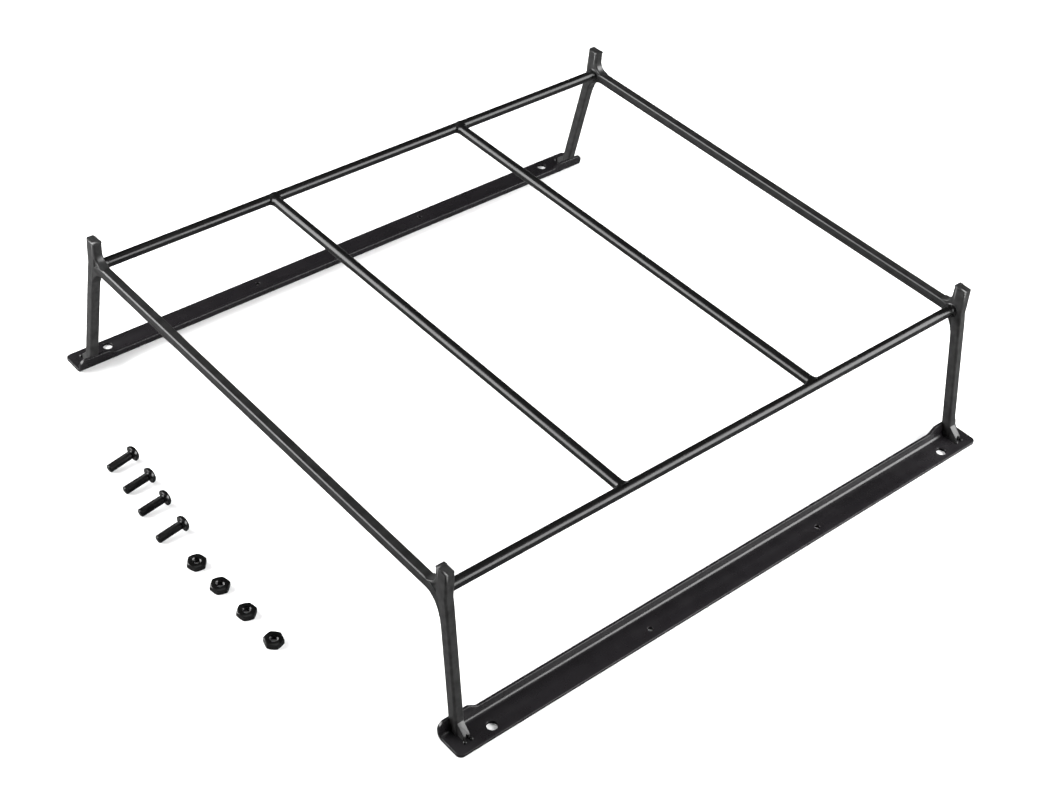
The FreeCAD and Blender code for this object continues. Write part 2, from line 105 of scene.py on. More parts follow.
# Shapes that the boxes don't show.
SPLAY = math.radians(10.2)
LEG_SETOUT = 2.0
STAKE_DRAFT = 0.3
WEB_WIDTH = 1.1
WEB_FILLET = 3.4
WEB_FADE = 1.2
RECESS_DEPTH = 0.3
RECESS_MARGIN = 0.4
RECESS_RUN = 2.25
RECESS_RISE = 1.7
RECESS_FLOOR = 0.7
BEND_RADIUS = 6.0
CROWN_RADIUS = 6.0
CROWN_SETBACK = 5.6
FLANGE_WIDTH = 8.0
LIP_TOP = 3.4
EAR_LENGTH = 9.7
EAR_SLOPE = 2.6
EAR_ROUND = 2.2
EAR_BLEND = 1.2
FLANGE_ROUND = 1.6
FOLD_INSIDE = 1.1
HOLE_INSET = 4.95
BOLT_SETBACK = 7.85
PILOT_SPACING = 65.2
BOLT_HOLE = 3.0
PILOT_HOLE = 1.5
TOE_END = 1.2
EDGE_ROUND = 0.7
TOP_SHARE = 0.4
TOE_INSET = 0.4
TOE_SCOOP = 0.55
TOE_CORNER = 0.2
GUSSET_SINK = 0.3
KINK_SPAN = 2
KINK_CUT = 0.12
POST_FADE = 3
SMALL_ROUND = 0.16
ROD_CHAMFER = 0.2
BEAD_RUN = 1.35

SIDES = {"left": -1, "right": 1}
ENDS = {"near": -1, "far": 1}

# Seen from the photographer's place: what the camera looks at, from how far, and its turn, height and tilt.
AIM = (0.5, 1.2, 0.0)
DISTANCE = 564.2
AZIMUTH = math.radians(-43.92)
ELEVATION = math.radians(40.43)
ROLL = math.radians(5.56)
LENS = 64.2


# ---------------------------------------------------------------- places

def across(face, height):
    """X of a leaning face at a height. A face is its distance from the origin, square to itself."""
    return (face - height * math.sin(SPLAY)) / math.cos(SPLAY)


LEG_AXIS = (RAIL_X + LEG_SETOUT) * math.cos(SPLAY) + RAIL_Z * math.sin(SPLAY)
LEG_INNER = LEG_AXIS - BAR_DEPTH / 2
LEG_OUTER = LEG_AXIS + BAR_DEPTH / 2
FOLD = FLANGE_EDGE - FLANGE_WIDTH
LIP_OUTER = FOLD * math.cos(SPLAY) + SHEET * math.sin(SPLAY)
KINK_INNER = across(LEG_INNER, RAIL_Z)
KINK_OUTER = across(LEG_OUTER, RAIL_Z)
CROWN_Z = BAR_TOP - CROWN_RADIUS
CROWN_X = across(LEG_INNER - CROWN_SETBACK, CROWN_Z)
CROWN_END = SPLAY + math.acos(CROWN_SETBACK / CROWN_RADIUS)
BEND_Z = BAR_BOTTOM - BEND_RADIUS
BEND_X = across(LEG_INNER - BEND_RADIUS, BEND_Z)


def arc(centre, radius, start, end, steps):
    """Points of an arc, both ends included; angles in radians."""
    turns = [start + (end - start) * k / steps for k in range(steps + 1)]
    return [(centre[0] + radius * math.cos(a), centre[1] + radius * math.sin(a)) for a in turns]


# ---------------------------------------------------------------- meshes

def add_piece(name, mesh, nodes, material):
    """Puts a finished mesh in the scene for the CAD nodes it stands for, on the body they ride on."""
    piece = bpy.data.objects.new(name, mesh)
    bpy.context.scene.collection.objects.link(piece)
    mesh.materials.append(material)
    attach(piece, frame["nodes"][nodes[0]]["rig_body"])
    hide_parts(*nodes)
    return piece


def to_mesh(name, bm, crease=40):
    """Ends a bmesh, made in millimetres, as a smooth mesh in metres with its corners kept sharp."""
    bmesh.ops.recalc_face_normals(bm, faces=bm.faces)
    bmesh.ops.scale(bm, vec=(MM, MM, MM), verts=bm.verts)
    for edge in bm.edges:
        edge.smooth = edge.smooth and edge.calc_face_angle(0) < math.radians(crease)
    for face in bm.faces:
        face.smooth = True
    mesh = bpy.data.meshes.new(name)
    bm.to_mesh(mesh)
    bm.free()
    return mesh


def join_rings(bm, low, high):
    """Wall of four-cornered faces between two rings of as many points."""
    for k in range(len(low)):
        following = (k + 1) % len(low)
        bm.faces.new([low[k], low[following], high[following], high[k]])


def plate(outline, thickness):
    """A plate in the XZ plane about Y = 0. Each point is (x, z, share): how much of the full rounding
    the edges of the stretch that leaves it get."""
    bm = bmesh.new()
    weight = bm.edges.layers.float.new("bevel_weight_edge")
    rings = []
    for y in (-thickness / 2, thickness / 2):
        rings.append([bm.verts.new((x, y, z)) for x, z, _ in outline])
    join_rings(bm, *rings)
    for ring in rings:
        bm.faces.new(ring)
        for here, after, (_, _, share) in zip(ring, ring[1:] + ring[:1], outline):
            bm.edges.get([here, after])[weight] = share
    bmesh.ops.recalc_face_normals(bm, faces=bm.faces)
    return bm


def round_edges(piece, radius, segments=5):
    """Rounds the edges that plate() marked and keeps the faces between them flat."""
    edges = piece.modifiers.new("edges", "BEVEL")
    edges.width = radius * MM
    edges.segments = segments
    edges.limit_method = "WEIGHT"
    edges.harden_normals = True
    edges.use_clamp_overlap = False


def moved(bm, x=0, y=0, z=0, mirror=1):
    """Mirrors a bmesh across X if it is on the left side, then moves it."""
    bmesh.ops.transform(bm, matrix=Matrix.Diagonal((mirror, 1, 1, 1)), verts=bm.verts)
    bmesh.ops.translate(bm, vec=(x, y, z), verts=bm.verts)
    return bm


def inward_step(outline, k):
    """Step that takes a point of an outline to its left, by 1 from both of its edges at once."""
    before, here, after = (Vector(outline[(k + step) % len(outline)][:2]) for step in (-1, 0, 1))
    normals = [Vector((-edge.y, edge.x)).normalized() for edge in (here - before, after - here)]
    return (normals[0] + normals[1]) / (1 + normals[0].dot(normals[1]))


def add_rim(bm, outline, half, radius, steps):
    """Edge of a flat sheet about Z = 0, rounded over to both faces. The sheet is to the left of the outline,
    whose points are (x, y, share of the radius). Returns the rings that bound its low and high faces."""
    inward = [inward_step(outline, k) for k in range(len(outline))]
    turns = [math.pi / 2 * k / steps for k in range(steps + 1)]
    rings = []
    for face, order in ((-1, turns[::-1]), (1, turns)):
        for turn in order:
            ring = []
            for (x, y, share), step in zip(outline, inward):
                inset = radius * share * (1 - math.cos(turn))
                height = half - radius * share * (1 - math.sin(turn))
                ring.append(bm.verts.new((x + step.x * inset, y + step.y * inset, face * height)))
            rings.append(ring)
    for low, high in zip(rings, rings[1:]):
        join_rings(bm, low, high)
    return rings[0], rings[-1]


def fill(bm, rings, normal):
    """Flat face within the first ring, with the other rings left open."""
    edges = []
    for ring in rings:
        edges += [bm.edges.get(pair) for pair in zip(ring, ring[1:] + ring[:1])]
    bmesh.ops.triangle_fill(bm, edges=edges, use_beauty=True, normal=normal)


def lathe(rings, segments, close=True):
    """A solid about Z. Each ring is a function from the angle to (radius, height)."""
    bm = bmesh.new()
    grid = []
    for ring in rings:
        row = []
        for k in range(segments):
            angle = math.tau * k / segments
            radius, height = ring(angle)
            row.append(bm.verts.new((radius * math.cos(angle), radius * math.sin(angle), height)))
        grid.append(row)
    pairs = list(zip(grid, grid[1:]))
    if not close:
        pairs.append((grid[-1], grid[0]))
    for low, high in pairs:
        join_rings(bm, low, high)
    if close:
        bm.faces.new(grid[0])
        bm.faces.new(grid[-1])
    return bm


def circle(radius, height):
    return lambda angle: (radius, height)


def hexagon(across_flats, height):
    """A ring with six flats, its first corner on X."""
    half = across_flats / 2
    step = math.radians(60)
    return lambda angle: (half / math.cos(angle % step - step / 2), height)


def aligned(start, end):
    """Matrix that takes Z to the line from start to end, with its origin at start."""
    turn = (end - start).to_track_quat("Z", "Y")
    return Matrix.Translation(start) @ turn.to_matrix().to_4x4()


# ---------------------------------------------------------------- materials

def new_material(name):
    material = bpy.data.materials.new(name)
    material.use_nodes = True
    tree = material.node_tree
    return material, tree, tree.nodes["Principled BSDF"]


def noise_node(tree, scale, detail=2.0, roughness=0.5):
    """Noise over the object's own coordinates; scale is in waves per metre."""
    place = tree.nodes.new("ShaderNodeTexCoord")
    node = tree.nodes.new("ShaderNodeTexNoise")
    node.inputs["Scale"].default_value = scale
    node.inputs["Detail"].default_value = detail
    node.inputs["Roughness"].default_value = roughness
    tree.links.new(place.outputs["Object"], node.inputs["Vector"])
    return node.outputs["Fac"]


def ramp(tree, factor, low, high, start=0.35, end=0.65):
    """Colour between two colours as the factor goes from start to end."""
    node = tree.nodes.new("ShaderNodeValToRGB")
    node.color_ramp.elements[0].position = start
    node.color_ramp.elements[0].color = (*low, 1)
    node.color_ramp.elements[1].position = end
    node.color_ramp.elements[1].color = (*high, 1)
    tree.links.new(factor, node.inputs["Fac"])
    return node.outputs["Color"]


def spread(tree, factor, low, high):
    """A number between low and high as the noise goes from its usual low to its usual high."""
    node = tree.nodes.new("ShaderNodeMapRange")
    node.inputs["From Min"].default_value = 0.3
    node.inputs["From Max"].default_value = 0.7
    node.inputs["To Min"].default_value = low
    node.inputs["To Max"].default_value = high
    tree.links.new(factor, node.inputs["Value"])
    return node.outputs["Result"]


def bump(tree, heights):
    """Stacks bumps, each (height, depth in millimetres)."""
    normal = None
    for height, depth in heights:
        node = tree.nodes.new("ShaderNodeBump")
        node.inputs["Strength"].default_value = 1.0
        node.inputs["Distance"].default_value = depth * MM
        tree.links.new(height, node.inputs["Height"])
        if normal:
            tree.links.new(normal, node.inputs["Normal"])
        normal = node.outputs["Normal"]
    return normal


def black_coat(name, low, high, rough, gloss, peel, grain, patch=60):
    """Black coat between two colours: soft orange peel, fine grain, and roughness that changes from place
    to place. Peel and grain are depths in millimetres; patch is how often the colour changes in a metre."""
    material, tree, shader = new_material(name)
    shader.inputs["Specular IOR Level"].default_value = gloss
    patches = noise_node(tree, patch, 3)
    tree.links.new(ramp(tree, patches, low, high), shader.inputs["Base Color"])
    tree.links.new(spread(tree, noise_node(tree, 240, 4), *rough), shader.inputs["Roughness"])
    waves, specks = noise_node(tree, 900, 1), noise_node(tree, 6000, 2)
    tree.links.new(bump(tree, [(waves, peel), (specks, grain)]), shader.inputs["Normal"])
    return material


# ---------------------------------------------------------------- hoops

def off_leg(point):
    """Share of the full rounding that a point of the hoop bar gets: none where the bar meets the leg."""
    x, z = point
    gap = LEG_INNER - abs(x) * math.cos(SPLAY) - z * math.sin(SPLAY)
    return min(1, max(0, gap / 2.5 - 0.15))


def hoop_bar_mesh(name, y):
    """Square bar of a hoop: flat across the top, turned down at both ends to lie against the posts."""
    right = arc((CROWN_X, CROWN_Z), CROWN_RADIUS, math.pi / 2, CROWN_END, 12)
    right += arc((BEND_X, BEND_Z), BEND_RADIUS, SPLAY, math.pi / 2, 20)
    points = right + [(-x, z) for x, z in reversed(right)]
    outline = []
    for here, after in zip(points, points[1:] + points[:1]):
        outline.append((*here, min(off_leg(here), off_leg(after))))
    return to_mesh(name, moved(plate(outline, BAR_WIDTH), y=y))


def post_mesh(name, side, y):
    """Leg and stake in one bar, its foot cut to stand over the ear of the strip."""
    bend_end = BEND_Z + BEND_RADIUS * math.sin(SPLAY)
    outline = [
        (FOLD, SHEET, 0),
        (across(LEG_OUTER, SHEET), SHEET, 1),
        (across(LEG_OUTER, RAIL_Z - KINK_SPAN), RAIL_Z - KINK_SPAN, 1),
        (KINK_OUTER - KINK_CUT, RAIL_Z, 1),
        (KINK_OUTER - STAKE_DRAFT / 4 - KINK_CUT / 2, RAIL_Z + KINK_SPAN, 1),
        (KINK_OUTER - STAKE_DRAFT, STAKE_TOP, TOP_SHARE),
        (KINK_INNER - STAKE_DRAFT, STAKE_TOP, 0),
        (KINK_INNER, RAIL_Z, 0),
        (across(LEG_INNER, bend_end), bend_end, 0.3),
        (across(LEG_INNER, bend_end - POST_FADE / 2), bend_end - POST_FADE / 2, 0.7),
        (across(LEG_INNER, bend_end - POST_FADE), bend_end - POST_FADE, 1),
        (across(LEG_INNER, EAR_TOP), EAR_TOP, 0),
        (across(LIP_OUTER, EAR_TOP), EAR_TOP, 0),
    ]
    return to_mesh(name, moved(plate(outline, BAR_WIDTH), y=y, mirror=side))


def web_outline():
    """Outline of a corner web, anticlockwise. Each point is (x, z, share of the full rounding)."""
    edge_x = KINK_INNER - STAKE_DRAFT - WEB_WIDTH
    foot_x = edge_x - WEB_FILLET
    crown_angle = math.acos((foot_x - CROWN_X) / CROWN_RADIUS)
    crown = arc((CROWN_X, CROWN_Z), CROWN_RADIUS, crown_angle, CROWN_END, 10)
    hollow = arc((foot_x, BAR_TOP + WEB_FILLET), WEB_FILLET, 0, -math.pi / 2, 14)
    outline = [(x, z, 0) for x, z in crown]
    outline += [(KINK_INNER, RAIL_Z, 0), (KINK_INNER - STAKE_DRAFT, STAKE_TOP, 0)]
    outline += [(edge_x, STAKE_TOP, TOP_SHARE), (edge_x, STAKE_TOP - EDGE_ROUND, 1)]
    outline += [(x, z, min(1, (z - BAR_TOP) / WEB_FADE)) for x, z in hollow[:-1]]
    return outline


def add_recess(bm, height, floor_height):
    """Three-cornered recess of a corner web: its walls and its floor. Returns the ring of its mouth."""
    corners = [
        Vector((KINK_INNER - RECESS_MARGIN, RAIL_Z)),
        Vector((KINK_INNER - STAKE_DRAFT - RECESS_MARGIN, BAR_TOP + RECESS_RISE)),
        Vector((KINK_INNER - STAKE_DRAFT - RECESS_RUN, BAR_TOP)),
    ]
    centre = sum(corners, Vector((0, 0))) / 3
    floor = [centre + (corner - centre) * RECESS_FLOOR for corner in corners]
    mouth = [bm.verts.new((*corner, height)) for corner in corners]
    floor = [bm.verts.new((*corner, floor_height)) for corner in floor]
    join_rings(bm, mouth, floor)
    bm.faces.new(floor)
    return mouth


def web_mesh(name, side, end):
    """Filler in the corner between bar and stake, with a three-cornered recess in its outer face."""
    half = BAR_WIDTH / 2
    bm = bmesh.new()
    low, high = add_rim(bm, web_outline(), half, EDGE_ROUND, 6)
    inner, outer = (low, high) if end > 0 else (high, low)
    mouth = add_recess(bm, end * half, end * (half - RECESS_DEPTH))
    fill(bm, [inner], (0, 0, -end))
    fill(bm, [outer, mouth], (0, 0, end))
    bmesh.ops.remove_doubles(bm, verts=bm.verts, dist=1e-5)
    bmesh.ops.dissolve_degenerate(bm, edges=bm.edges, dist=1e-5)
    upright = Matrix(((1, 0, 0, 0), (0, 0, 1, 0), (0, 1, 0, 0), (0, 0, 0, 1)))
    bmesh.ops.transform(bm, matrix=upright, verts=bm.verts)
    return to_mesh(name, moved(bm, y=end * HOOP_Y, mirror=side), crease=25)


# ---------------------------------------------------------------- base strips

def rounded_corner(outline, corner, radius, before, after, steps=8):
    """Adds the corner to the outline as an arc; before and after are unit steps towards its neighbours."""
    corner, before, after = Vector(corner), Vector(before), Vector(after)
    opening = before.angle(after)
    reach = radius / math.tan(opening / 2)
    start = corner + before * reach
    centre = corner + (before + after).normalized() * (radius / math.sin(opening / 2))
    sweep = math.pi - opening
    turn = 1 if before.x * after.y - before.y * after.x < 0 else -1
    arm = start - centre
    for k in range(steps + 1):
        angle = turn * sweep * k / steps
        c, s = math.cos(angle), math.sin(angle)
        outline.append((centre.x + c * arm.x - s * arm.y, centre.y + s * arm.x + c * arm.y))


def whole(points):
    """Outline whose edge gets the full rounding everywhere."""
    return [(x, y, 1) for x, y in points]


def strip_outline(top, low_top):
    """Outline of the flat blank: X from the flange's edge to the lip's, and Y along the strip."""
    outline = []
    rounded_corner(outline, (0, -STRIP_END), FLANGE_ROUND, (0, 1), (1, 0))
    rounded_corner(outline, (top, -STRIP_END), EAR_ROUND, (-1, 0), (0, 1))
    ear = STRIP_END - EAR_LENGTH
    slope_end = ear - EAR_SLOPE
    fall = Vector((low_top - top, EAR_SLOPE)).normalized()
    rounded_corner(outline, (top, -ear), EAR_BLEND, (0, -1), fall, 5)
    rounded_corner(outline, (low_top, -slope_end), EAR_BLEND, -fall, (0, 1), 5)
    return outline + [(x, -y) for x, y in reversed(outline)]


def strip_mesh(name, side):
    """The strip as it is made: a flat blank with its holes, bent up along one line. All outlines of the
    blank run with the sheet on their left, so the holes run clockwise."""
    half = SHEET / 2
    bend = FOLD_INSIDE + half
    turn = math.pi / 2 - SPLAY
    corner_x = across(LIP_OUTER - half, half)
    reach = bend * math.tan(turn / 2)
    flat_end = FLANGE_EDGE - (corner_x + reach)
    bend_end = flat_end + bend * turn

    def height_on_lip(height):
        """Distance on the blank of a height on the lip, measured on its outer face."""
        return bend_end + (height - half * math.sin(SPLAY) - half) / math.cos(SPLAY) - reach

    def bent(point):
        """Where a point of the blank goes; its Z is its lift above the middle of the sheet."""
        if point.x < flat_end:
            x, z, tilt = FLANGE_EDGE - point.x, half, 0
        elif point.x < bend_end:
            tilt = (point.x - flat_end) / bend
            x = corner_x + reach - bend * math.sin(tilt)
            z = half + bend - bend * math.cos(tilt)
        else:
            up, tilt = point.x - bend_end + reach, turn
            x, z = corner_x - up * math.sin(SPLAY), half + up * math.cos(SPLAY)
        return Vector(((x + point.z * math.sin(tilt)) * side, point.y, z + point.z * math.cos(tilt)))

    outlines = [strip_outline(height_on_lip(EAR_TOP), height_on_lip(LIP_TOP))]
    line = FLANGE_WIDTH - HOLE_INSET
    for end in ENDS.values():
        outlines.append(arc((line, end * (HOOP_Y - BOLT_SETBACK)), BOLT_HOLE / 2, math.tau, 0, 40)[:-1])
        outlines.append(arc((line, end * PILOT_SPACING / 2), PILOT_HOLE / 2, math.tau, 0, 28)[:-1])
    bm = bmesh.new()
    rims = [add_rim(bm, whole(outline), half, SMALL_ROUND, 3) for outline in outlines]
    fill(bm, [low for low, _ in rims], (0, 0, -1))
    fill(bm, [high for _, high in rims], (0, 0, 1))
    for k in range(9):
        cut = flat_end + (bend_end - flat_end) * k / 8
        everything = list(bm.verts) + list(bm.edges) + list(bm.faces)
        bmesh.ops.bisect_plane(bm, geom=everything, plane_co=(cut, 0, 0), plane_no=(1, 0, 0))
    for edge in bm.edges:
        ends = [vert.co.x for vert in edge.verts]
        if any(all(abs(x - fold) < 1e-4 for x in ends) for fold in (flat_end, bend_end)):
            edge.smooth = False
    for vert in bm.verts:
        vert.co = bent(vert.co)
    bm.normal_update()
    return to_mesh(name, bm, crease=25)


# ---------------------------------------------------------------- feet

def gusset_mesh(name, side, end):
    """Wedge at the foot of a leg. Its low end is scooped out between the two beads."""
    half = BAR_WIDTH / 2 - TOE_INSET
    foot = across(LEG_OUTER, SHEET)
    plan = [(foot, half), (foot, -half), (TOE_X - TOE_CORNER, -half), (TOE_X, -half + TOE_CORNER)]
    plan += [(TOE_X, -TOE_SCOOP)]
    plan += arc((TOE_X + 0.1, 0), TOE_SCOOP, 1.5 * math.pi, 0.5 * math.pi, 10)[1:-1]
    plan += [(TOE_X, TOE_SCOOP), (TOE_X, half - TOE_CORNER), (TOE_X - TOE_CORNER, half)]
    bm = bmesh.new()
    low, high = [], []
    for x, y in plan:
        share = (x - foot) / (TOE_X - foot)
        z = TOE_TOP + (SHEET + TOE_END - TOE_TOP) * share
        at_leg = share < 1e-6
        low.append(bm.verts.new((x - (GUSSET_SINK if at_leg else 0), y, SHEET)))
        high.append(bm.verts.new((across(LEG_OUTER, z) - GUSSET_SINK if at_leg else x, y, z)))
    join_rings(bm, low, high)
    bm.faces.new(low)
    bm.faces.new(high)
    rim = [bm.edges.get(pair) for pair in zip(high[1:], high[2:] + high[:1])]
    bmesh.ops.bevel(bm, geom=rim, offset=SMALL_ROUND, segments=3, profile=0.5, affect="EDGES")
    return to_mesh(name, moved(bm, y=end * HOOP_Y, mirror=side))


def bead_mesh(name, node, side, seed):
    """Weld bead that has run out from the gusset: an uneven drop, flat on the flange."""
    low, high = box(node)
    centre = Vector(((low.x + high.x) / 2, (low.y + high.y) / 2, SHEET))
    radius = high.z - SHEET
    bm = bmesh.new()
    bmesh.ops.create_icosphere(bm, subdivisions=4, radius=1)
    for vert in bm.verts:
        lump = 0.1 * noise.noise(vert.co * 1.3 + Vector((seed * 7.1, 0, 0)))
        point = vert.co * radius * (0.9 + lump)
        if point.x * side < 0:
            point.x *= BEAD_RUN
        point.z = max(point.z, -0.05)
        vert.co = centre + point
    return to_mesh(name, bm, crease=70)


# ---------------------------------------------------------------- rods and their welds

def rod_mesh(name, start, end):
    """Round rod, drawn straight, with a softened rim at both ends."""
    length = (end - start).length
    tip = ROD_RADIUS - ROD_CHAMFER
    rings = [circle(tip, 0), circle(ROD_RADIUS, ROD_CHAMFER)]
    rings += [circle(ROD_RADIUS, length * k / 12) for k in range(1, 12)]
    rings += [circle(ROD_RADIUS, length - ROD_CHAMFER), circle(tip, length)]
    bm = lathe(rings, 64)
    bmesh.ops.transform(bm, matrix=aligned(start, end), verts=bm.verts)
    return to_mesh(name, bm)


def ripple(angle, seed, share):
    """Uneven edge of a weld that was laid round a rod in short dabs."""
    dabs = 0.5 + 0.5 * math.cos(11 * angle + seed)
    wander = noise.noise(Vector((math.cos(angle), math.sin(angle), seed * 3.7)))
    return (0.05 * dabs + 0.08 * wander) * math.sin(math.pi * share)


def collar_mesh(name, start, direction, reach, seed, saddle=0):
    """Fillet weld round the end of a rod. The saddle is the radius of the rod that it stands on, or 0 where
    it stands on a flat face."""
    throat = COLLAR_RADIUS - ROD_RADIUS

    def ring(share, inside):
        def point(angle):
            swell = ripple(angle, seed, share)
            radius = ROD_RADIUS - 0.1 if inside else ROD_RADIUS + (throat + swell * 0.6) * (1 - share) ** 2.2
            height = (reach + swell) * (share - 0.12 * math.sin(math.pi * share))
            if saddle:
                rise = math.sqrt(max(saddle ** 2 - (radius * math.sin(angle)) ** 2, 0))
                height = rise + (saddle + reach - rise) * height / reach - 0.05
            return min(radius, COLLAR_RADIUS), height
        return point

    rings = [ring(0, True)] + [ring(k / 12, False) for k in range(13)] + [ring(1, True)]
    bm = lathe(rings, 96, close=False)
    across_z = Vector((0, 0, 1)).cross(direction)
    frame_axes = Matrix((across_z, Vector((0, 0, 1)), direction)).transposed().to_4x4()
    bmesh.ops.transform(bm, matrix=Matrix.Translation(start) @ frame_axes, verts=bm.verts)
    return to_mesh(name, bm, crease=60)


# ---------------------------------------------------------------- screws and nuts

THREAD_PITCH = 0.45
THREAD_DEPTH = 0.2
SCREW_DIAMETER = 2.5
SCREW_LENGTH = 8.0
HEAD_DIAMETER = 4.7
HEAD_RIM = 0.35
HEAD_HEIGHT = 1.5
CROWN_DIAMETER = 2.3
SOCKET_WIDTH = 1.5
SOCKET_DEPTH = 0.9
NUT_WIDTH = 4.9
NUT_HEIGHT = 1.8
NUT_BORE = 2.05


def thread(radius, height):
    """Ring of a thread at a height: its crest runs round once for every pitch. The radius is the crest's."""
    def point(angle):
        phase = (height / THREAD_PITCH - angle / math.tau) % 1
        groove = min(1, max(0, 1.35 - 2.7 * abs(2 * phase - 1)))
        return radius - THREAD_DEPTH * groove, height
    return point


def threads(radius, start, end):
    count = round((end - start) / THREAD_PITCH * 8)
    return [thread(radius, start + (end - start) * k / count) for k in range(count + 1)]


def cad_axes(node):
    """Middle of a CAD node and its three axes, longest first, each as (direction, half its length)."""
    points = np.array([v.co for v in frame["nodes"][node].data.vertices]) / MM
    axes = np.linalg.svd(points - points.mean(axis=0), full_matrices=False)[2]
    low, high = (points @ axes.T).min(axis=0), (points @ axes.T).max(axis=0)
    centre = Vector((low + high) / 2 @ axes)
    return centre, [(Vector(axis), half) for axis, half in zip(axes, (high - low) / 2)]


def screw_mesh(name, node):
    """Button-head screw with a rolled thread and a hexagon socket, lying where its CAD node lies."""
    shank, head, crown = SCREW_DIAMETER / 2, HEAD_DIAMETER / 2, CROWN_DIAMETER / 2
    run, rise = head - crown, HEAD_HEIGHT - HEAD_RIM
    dome = (run ** 2 + rise ** 2) / (2 * rise)
    start = math.acos((head - crown) / dome)
    rings = [circle(shank - 0.45, -SCREW_LENGTH), circle(shank - 0.3, 0.04 - SCREW_LENGTH)]
    rings += threads(shank, 0.3 - SCREW_LENGTH, -0.75)
    rings += [circle(shank - 0.1, -0.6), circle(shank - 0.1, -0.2), circle(shank + 0.1, 0)]
    rings += [circle(head - 0.12, 0), circle(head, 0.12), circle(head, HEAD_RIM)]
    for k in range(1, 11):
        angle = start + (math.pi / 2 - start) * k / 10
        rings.append(circle(crown + dome * math.cos(angle), HEAD_HEIGHT - dome + dome * math.sin(angle)))
    socket_top, socket_end = HEAD_HEIGHT - 0.1, HEAD_HEIGHT - SOCKET_DEPTH
    rings += [circle(SOCKET_WIDTH / math.sqrt(3) + 0.1, HEAD_HEIGHT), hexagon(SOCKET_WIDTH, socket_top)]
    rings += [hexagon(SOCKET_WIDTH, socket_end), circle(0.2, socket_end - 0.15)]
    bm = lathe(rings, 72)
    centre, axes = cad_axes(node)
    direction, half = axes[0]
    direction = direction if direction.y > 0 else -direction
    lie = aligned(centre - direction * half, centre + direction * half)
    bmesh.ops.transform(bm, matrix=lie @ Matrix.Translation((0, 0, SCREW_LENGTH)), verts=bm.verts)
    return to_mesh(name, bm, crease=35)


def nut_mesh(name, node):
    """Hexagon nut with bevelled corners and a threaded bore, turned as its CAD node is."""
    face = NUT_WIDTH / 2 - 0.1
    corner = hexagon(NUT_WIDTH, 0)

    def bevelled(top):
        def point(angle):
            radius = corner(angle)[0]
            drop = (radius - face) / math.sqrt(3)
            return radius, NUT_HEIGHT - drop if top else drop
        return point

    bore = NUT_BORE / 2
    rings = [circle(bore + 0.25, 0)] + threads(bore + THREAD_DEPTH, 0.25, NUT_HEIGHT - 0.25)
    rings += [circle(bore + 0.25, NUT_HEIGHT), circle(face, NUT_HEIGHT), bevelled(True)]
    rings += [bevelled(False), circle(face, 0)]
    bm = lathe(rings, 72, close=False)
    centre = middle(node)
    points = [Vector(v.co) / MM - centre for v in frame["nodes"][node].data.vertices]
    far = max(points, key=lambda p: p.xy.length)
    heading = Matrix.Rotation(math.atan2(far.y, far.x), 4, "Z")
    bmesh.ops.transform(bm, matrix=Matrix.Translation((centre.x, centre.y, 0)) @ heading, verts=bm.verts)
    return to_mesh(name, bm, crease=35)


# ---------------------------------------------------------------- the object

def build_corner(corner, side, end, coats, seed):
    post = post_mesh(corner, side, end * HOOP_Y)
    post = add_piece(f"{corner}_post_bent", post, [f"{corner}_post"], coats["post"])
    round_edges(post, EDGE_ROUND)
    web = web_mesh(corner, side, end)
    add_piece(f"{corner}_web_filled", web, [f"{corner}_corner_web"], coats["post"])
    gusset = gusset_mesh(corner, side, end)
    add_piece(f"{corner}_gusset", gusset, [f"{corner}_toe_gusset"], coats["post"])
    for face_name in ENDS:
        node = f"{corner}_foot_weld_{face_name}"
        bead = bead_mesh(node, node, side, seed + len(face_name))
        add_piece(f"{corner}_bead_{face_name}", bead, [node], coats["rod"])
    inward = Vector((0, -end, 0))
    weld = collar_mesh(corner, Vector((side * RAIL_X, end * RAIL_END, RAIL_Z)), inward, COLLAR_LENGTH, seed)
    add_piece(f"{corner}_rail_collar", weld, [f"{corner}_rail_weld"], coats["rod"])
    reach = RAIL_X - ROD_RADIUS - ROD_WELD_START
    start = Vector((side * RAIL_X, end * CROSS_ROD_Y, RAIL_Z))
    weld = collar_mesh(corner, start, Vector((-side, 0, 0)), reach, seed + 9, saddle=ROD_RADIUS)
    add_piece(f"{corner}_rod_collar", weld, [f"{corner}_rod_weld"], coats["rod"])


def build_rack(coats):
    for end_name, end in ENDS.items():
        bar = add_piece(
            f"{end_name}_hoop_bent",
            hoop_bar_mesh(end_name, end * HOOP_Y),
            [f"{end_name}_hoop_bar"],
            coats["bar"],
        )
        round_edges(bar, EDGE_ROUND)
        start = Vector((-RAIL_X + 1, end * CROSS_ROD_Y, RAIL_Z))
        rod = rod_mesh(end_name, start, start + Vector((2 * RAIL_X - 2, 0, 0)))
        add_piece(f"{end_name}_cross_rod_drawn", rod, [f"{end_name}_cross_rod"], coats["rod"])
    for side_name, side in SIDES.items():
        start = Vector((side * RAIL_X, -RAIL_END, RAIL_Z))
        rod = rod_mesh(side_name, start, start + Vector((0, 2 * RAIL_END, 0)))
        add_piece(f"{side_name}_rail_drawn", rod, [f"{side_name}_rail"], coats["rod"])
        node = f"{side_name}_base_strip"
        add_piece(f"{side_name}_strip_folded", strip_mesh(side_name, side), [node], coats["sheet"])
        for end_name, end in ENDS.items():
            build_corner(f"{end_name}_{side_name}", side, end, coats, seed=2 * side + end)


def build_hardware(steel):
    for number in range(1, 5):
        node = f"mounting_screw_{number}"
        add_piece(f"screw_{number}_threaded", screw_mesh(node, node), [node], steel)
        node = f"mounting_nut_{number}"
        add_piece(f"nut_{number}_threaded", nut_mesh(node, node), [node], steel)


# ---------------------------------------------------------------- studio

